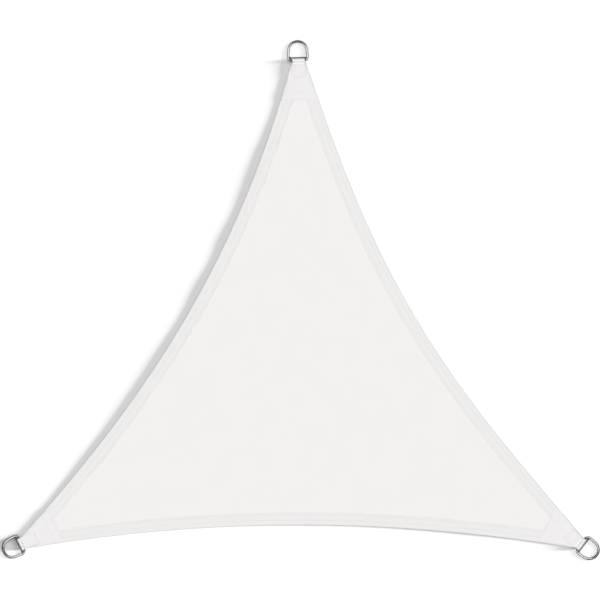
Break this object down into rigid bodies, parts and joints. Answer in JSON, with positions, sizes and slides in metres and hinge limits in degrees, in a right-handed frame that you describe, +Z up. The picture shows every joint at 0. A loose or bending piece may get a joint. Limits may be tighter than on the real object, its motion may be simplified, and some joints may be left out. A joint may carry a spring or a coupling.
{
  "type": "triangular shade sail",
  "caption": "Triangular shade sail laid flat, with inward-curved hemmed sides and, at each corner, a sewn patch and a webbing loop that holds a steel D-ring.",
  "frame": {"origin": "on the ground under the middle of the sail's overall box", "axes": "+Z up off the ground, +Y towards the top corner, +X along the side opposite that corner"},
  "size_m": [2.0232, 1.759, 0.0127],
  "materials": {
    "sail_cloth": "matt",
    "patch_cloth": "matt",
    "webbing": "ribbed weave",
    "ring_steel": "polished"
  },
  "bodies": {
    "root": {"sail_cloth": "sail_cloth", "patch_top": "patch_cloth", "patch_left": "patch_cloth", "patch_right": "patch_cloth", "webbing_top": "webbing", "webbing_left": "webbing", "webbing_right": "webbing", "ring_top": "ring_steel", "ring_left": "ring_steel", "ring_right": "ring_steel"}
  },
  "joints": []
}
